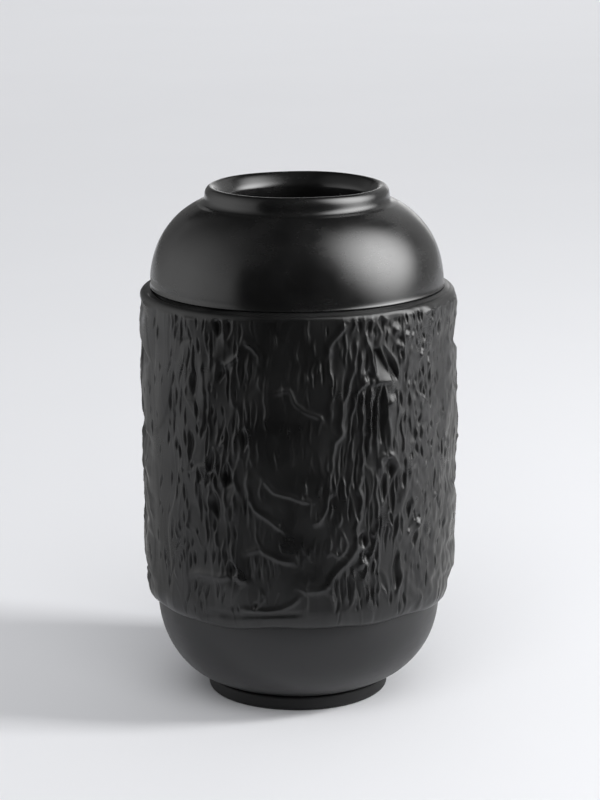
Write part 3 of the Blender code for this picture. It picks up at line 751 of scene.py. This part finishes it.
def bark_band():
    """The textured slab: plain rounded top edge, bark face, feathered and wavy lower edge."""
    bark = bark_relief()
    inner_low, inner_high = BOWL_RADIUS + GAP, SHOULDER_RADIUS + GAP
    # the rounded top edge: its inner radius, its height and its number of rows
    crest, edge_height, edge_rows = 87.9, 4.25, 16
    # the shelf behind that edge: radius past the inside, and level over the tooled line
    shelf = [
        (0.0, -5.0), (0.0, -2.5), (-0.5, -1.4), (-0.75, -0.4), (-0.6, 0.0), (-0.2, 0.4), (0.6, 0.2),
        (1.6, 0.0), (2.5, -0.2),
    ]
    top = [(inner_high + past, LINE_LEVEL + over) for past, over in shelf]
    edge_start = len(top)
    top += curve((crest, FACE_TOP), (BAND_RADIUS - crest, edge_height), 88.0, 0.0, edge_rows)
    face = [(BAND_RADIUS, z) for z in np.arange(FACE_TOP - 0.8, FACE_BOTTOM, -ROW_STEP)]
    thin = curve((inner_low + 0.7, FACE_BOTTOM), (BAND_RADIUS - inner_low - 0.7, 11.0), 0.0, -90.0, 18)
    profile = top + face + thin
    profile += [(inner_low - 0.6, BAND_BOTTOM - 0.2), (inner_low, 66.5), (inner_high, 232.0)]
    rings = spun(profile, TURNS)
    bark_degrees = bark.degrees()
    # the shelf is raised in front and let down on the left
    front = smooth(bark_degrees, -60.0, -10.0) * (1.0 - smooth(bark_degrees, 85.0, 115.0))
    left = smooth(-bark_degrees, 22.0, 48.0) * (1.0 - smooth(-bark_degrees, 62.0, 84.0))
    rings[3:edge_start - 1, :, 1] += 0.75 * front - 1.6 * left
    rings[edge_start - 1, :, 1] -= 0.7 * left
    # the rounding of the edge is tight in front and soft elsewhere
    square = 1.0 - 0.55 * np.exp(-(((bark_degrees + 5.0) / 24.0) ** 2))
    for row, angle in enumerate(np.radians(np.linspace(88.0, 0.0, edge_rows)), edge_start):
        rings[row, :, 0] = crest + (BAND_RADIUS - crest) * math.cos(angle) ** square
        rings[row, :, 1] = FACE_TOP + edge_height * math.sin(angle) ** square
    rows = len(top) + len(face) + len(thin)
    level = rings[:rows, 0, 1]
    height = np.stack([np.interp(level, bark.level, bark.height[:, k]) for k in range(TURNS)], axis=1)
    weight = smooth(level, 61.0, 67.0)
    upper = 236.6 + 1.6 * smooth(bark_degrees, -25.0, 0.0) * (1.0 - smooth(bark_degrees, 45.0, 75.0))
    weight = weight[:, None] * (1.0 - smooth(level[:, None], upper[None, :], upper[None, :] + 2.8))
    height = height * weight
    rings[:rows, :, 0] += height
    turn = bark.turn
    wave = 0.9 * np.sin(3 * turn + 0.5) + 0.7 * np.sin(7 * turn + 2.0) + 0.4 * np.sin(13 * turn + 4.0)
    sag = 1.0 - smooth(level, 61.0, 72.0)
    rings[:rows, :, 1] += sag[:, None] * (wave - 1.4 - 1.2 * np.sin(turn) ** 2)[None, :]
    piece = lathe("bark_band", rings, TEXTURED)
    # the relief value read by the clay's colour: painted shade in the low places of the bark
    relief_shade = np.full(rings.shape[:2], 0.5)
    # painted shade: the bark's colour is darker in a band across the front
    front_shade = 0.16 * np.exp(-(((bark_degrees + 3.0) / 17.0) ** 4))
    relief_shade[:rows] = np.clip(0.5 + height * 0.3 - front_shade, 0.0, 1.0)
    layer = piece.data.attributes.new("relief", "FLOAT", "POINT")
    layer.data.foreach_set("value", relief_shade.ravel().astype(np.float32))
    return piece


# ---------------------------------------------------------------- studio

# The camera's place in metres, its angles in radians, and its lens in millimetres
CAMERA_AT = (0.00136, -1.53826, 0.54233)
CAMERA_PITCH = 0.23578
CAMERA_ROLL = -0.0055
LENS = 122.0517
SENSOR = 36.0


def camera():
    """The photograph's viewing angle."""
    data = bpy.data.cameras.new("camera")
    data.sensor_width = SENSOR
    data.lens = LENS
    data.clip_start, data.clip_end = 0.05, 200.0
    item = bpy.data.objects.new("camera", data)
    item.matrix_world = (
        Matrix.Translation(CAMERA_AT)
        @ Matrix.Rotation(math.pi / 2 - CAMERA_PITCH, 4, "X")
        @ Matrix.Rotation(CAMERA_ROLL, 4, "Z")
    )
    bpy.context.scene.collection.objects.link(item)
    bpy.context.scene.camera = item


def plane(name, corners, material):
    """A staged flat surface from its corners."""
    mesh = bpy.data.meshes.new(name)
    mesh.from_pydata(corners, [], [tuple(range(len(corners)))])
    mesh.materials.append(material)
    item = bpy.data.objects.new(name, mesh)
    bpy.context.scene.collection.objects.link(item)
    return item


def pale_floor():
    """A matt pale sweep; the part near the camera isn't mirrored, as if the table ended there."""
    material, tree = new_material("pale_floor")
    shader = tree.nodes["Principled BSDF"]
    shader.inputs["Roughness"].default_value = 1.0
    shader.inputs["Specular IOR Level"].default_value = 0.0
    coords = add(tree, "ShaderNodeTexCoord").outputs["Object"]
    cloud = scaled_noise(tree, coords, (1.0, 1.0, 1.0), 3.0, 2.0)
    tone = mix(tree, cloud, (0.80, 0.805, 0.825, 1.0), (0.82, 0.825, 0.845, 1.0))
    tree.links.new(tone, shader.inputs["Base Color"])
    far, edge = 30.0, -0.26
    back = [(-far, edge, 0.0), (far, edge, 0.0), (far, far, 0.0), (-far, far, 0.0)]
    front = [(-far, -far, 0.0), (far, -far, 0.0), (far, edge, 0.0), (-far, edge, 0.0)]
    plane("floor", back, material)
    plane("floor_near", front, material).visible_glossy = False


def glow(name, profile):
    """An emission whose strength is `profile`, a function from (tree, u, v) to a socket."""
    material, tree = new_material(name)
    tree.nodes.remove(tree.nodes["Principled BSDF"])
    coords = add(tree, "ShaderNodeTexCoord").outputs["UV"]
    split = add(tree, "ShaderNodeSeparateXYZ", Vector=coords)
    strength = profile(tree, split.outputs["X"], split.outputs["Y"])
    emission = add(tree, "ShaderNodeEmission", Color=(1.0, 1.0, 1.0, 1.0), Strength=strength)
    tree.links.new(emission.outputs[0], tree.nodes["Material Output"].inputs["Surface"])
    return material


def sheet(name, centre, along, up, size, profile):
    """A glowing sheet that the clay mirrors; it doesn't light the floor."""
    centre, along, up = (np.array(v, dtype=float) for v in (centre, along, up))
    a, b = along * size[0] / 2, up * size[1] / 2
    corners = [tuple(p) for p in (centre - a - b, centre + a - b, centre + a + b, centre - a + b)]
    item = plane(name, corners, glow(name, profile))
    layer = item.data.uv_layers.new(name="sheet")
    for loop, place in zip(layer.data, ((0, 0), (1, 0), (1, 1), (0, 1))):
        loop.uv = place
    item.visible_camera = False
    item.visible_diffuse = False
    item.visible_shadow = False


KEY_STRENGTH = 9.0
LEFT_STRENGTH = 1.05
RIGHT_STRENGTH = 0.4
BACK_STRENGTH = 1.6


def key_profile(tree, u, v):
    """Bright in the middle, fading to nothing at the rim."""
    du, dv = maths(tree, "SUBTRACT", u, 0.5), maths(tree, "SUBTRACT", v, 0.5)
    distance = maths(tree, "SQRT", maths(tree, "MULTIPLY_ADD", du, du, times(tree, dv, dv)))
    made = add(
        tree, "ShaderNodeMapRange", {"interpolation_type": "SMOOTHSTEP"},
        Value=distance, From_Min=0.03, From_Max=0.425, To_Min=KEY_STRENGTH, To_Max=0.0,
    )
    return made.outputs["Result"]


def left_profile(tree, u, v):
    """Full strength low down and towards the back, fading upwards and to its front edge."""
    along = times(tree, spread(tree, u, 0.0, 0.28, 0.62, 1.0), spread(tree, u, 0.36, 0.66, 1.0, 0.42))
    low = spread(tree, v, 0.16, 0.52, LEFT_STRENGTH, 0.30 * LEFT_STRENGTH)
    return times(tree, along, times(tree, low, spread(tree, v, 0.52, 1.0, 1.0, 0.2)))


def back_profile(tree, u, v):
    """The far end of the pale sweep, as the clay mirrors it."""
    near_floor = spread(tree, v, 0.26, 0.42, 1.0, 0.42)
    return times(tree, near_floor, spread(tree, v, 0.75, 1.0, BACK_STRENGTH, 0.0))


def left_flag_profile(tree, u, v):
    """The darker far left, as the clay mirrors it."""
    return spread(tree, u, 0.0, 1.0, 0.28, 0.52)


def right_flag_profile(tree, u, v):
    """The floor behind on the right, a little under its full tone."""
    return times(tree, spread(tree, u, 0.0, 1.0, 0.62, 0.70), spread(tree, v, 0.1, 0.6, 1.45, 1.0))


def high_flag_profile(tree, u, v):
    """The dim air behind on the left, above the floor."""
    return spread(tree, u, 0.6, 1.0, 0.18, 0.42)


def right_profile(tree, u, v):
    """A dim wash from behind on the right, faded in at its near edge and stronger upwards."""
    edge = spread(tree, u, 0.0, 0.11, 0.0, RIGHT_STRENGTH)
    return times(tree, edge, spread(tree, v, 0.25, 0.6, 1.0, 1.35))


def soft_light(name, kind, away, energy):
    """A light that shines against the direction `away` and isn't mirrored."""
    data = bpy.data.lights.new(name, kind)
    data.energy = energy
    item = bpy.data.objects.new(name, data)
    item.rotation_mode = "QUATERNION"
    item.rotation_quaternion = Vector(away).to_track_quat("Z", "Y")
    item.visible_camera = False
    item.visible_glossy = False
    bpy.context.scene.collection.objects.link(item)
    return item


def lamp(name, at, aim, size, power):
    """A soft square-cornered lamp at a place, aimed at another."""
    item = soft_light(name, "AREA", Vector(at) - Vector(aim), power)
    item.location = at
    item.data.shape = "RECTANGLE"
    item.data.size, item.data.size_y = size


def sky(name, azimuth, elevation, spread_angle, strength):
    """Broad even light from one side of the room."""
    item = soft_light(name, "SUN", direction(azimuth, elevation), strength)
    item.data.angle = math.radians(spread_angle)


def direction(azimuth, elevation):
    """Unit vector from the pot; azimuth 0 is the front and 90 the right."""
    a, e = math.radians(azimuth), math.radians(elevation)
    return np.array((math.sin(a) * math.cos(e), -math.cos(a) * math.cos(e), math.sin(e)))


def studio():
    """World, floor, lamps and the sheets that the clay mirrors; places and sizes are in metres."""
    scene = bpy.context.scene
    scene.view_settings.view_transform = "Standard"
    world = bpy.data.worlds.new("studio")
    scene.world = world
    world.use_nodes = True
    tree = world.node_tree
    path = add(tree, "ShaderNodeLightPath")
    open_air, mirrored = (0.36, 0.363, 0.372, 1.0), (0.02, 0.02, 0.02, 1.0)
    mixed = mix(tree, path.outputs["Is Glossy Ray"], open_air, mirrored)
    tree.links.new(mixed, tree.nodes["Background"].inputs["Color"])
    pale_floor()
    middle = np.array((0.0, 0.0, 0.2))
    towards = direction(80.0, 31.5)
    along = direction(168.0, 0.0)
    sheet("key_sheet", middle + towards * 1.3, along, np.cross(towards, along), (2.5, 3.0), key_profile)
    sheet("left_sheet", (-1.1, 0.42, 1.6), (0, 1, 0), (0, 0, 1), (2.9, 3.2), left_profile)
    sheet("right_sheet", (1.7, 2.3, 1.7), (0, 1, 0), (0, 0, 1), (4.6, 3.4), right_profile)
    sheet("back_sheet", (0.3, 7.0, 1.9), (-1, 0, 0), (0, 0, 1), (5.2, 4.0), back_profile)
    # flags that stand for the floor and the air behind the pot; two of them lie just over the floor
    up, lift = np.array((0.0, 0.0, 1.0)), np.array((0.0, 0.0, 0.002))
    behind, across = direction(-150.0, 0.0), direction(-60.0, 0.0)
    sheet("left_flag", behind * 0.75 + lift, across, behind, (0.9, 1.2), left_flag_profile)
    sheet("high_flag", behind * 0.95 + up * 0.42, across, up, (0.75, 0.44), high_flag_profile)
    behind, across = direction(150.0, 0.0), direction(60.0, 0.0)
    sheet("right_flag", behind * 0.75 + lift, across, behind, (0.9, 1.2), right_flag_profile)
    lamp("key_lamp", tuple(middle + direction(80.0, 32.0) * 2.1), (0, 0, 0.1), (0.45, 0.45), 32.5)
    lamp("far_lamp", (1.8, 4.5, 3.5), (1.8, 4.6, 0.0), (6.0, 3.0), 54.0)
    sky("front_sky", 0.0, 45.0, 60.0, 1.27)


def main():
    camera()
    foot_ring()
    floor_disc()
    lower_bowl()
    body_wall()
    bark_band()
    shoulder_dome()
    rim_collar()
    studio()


main()
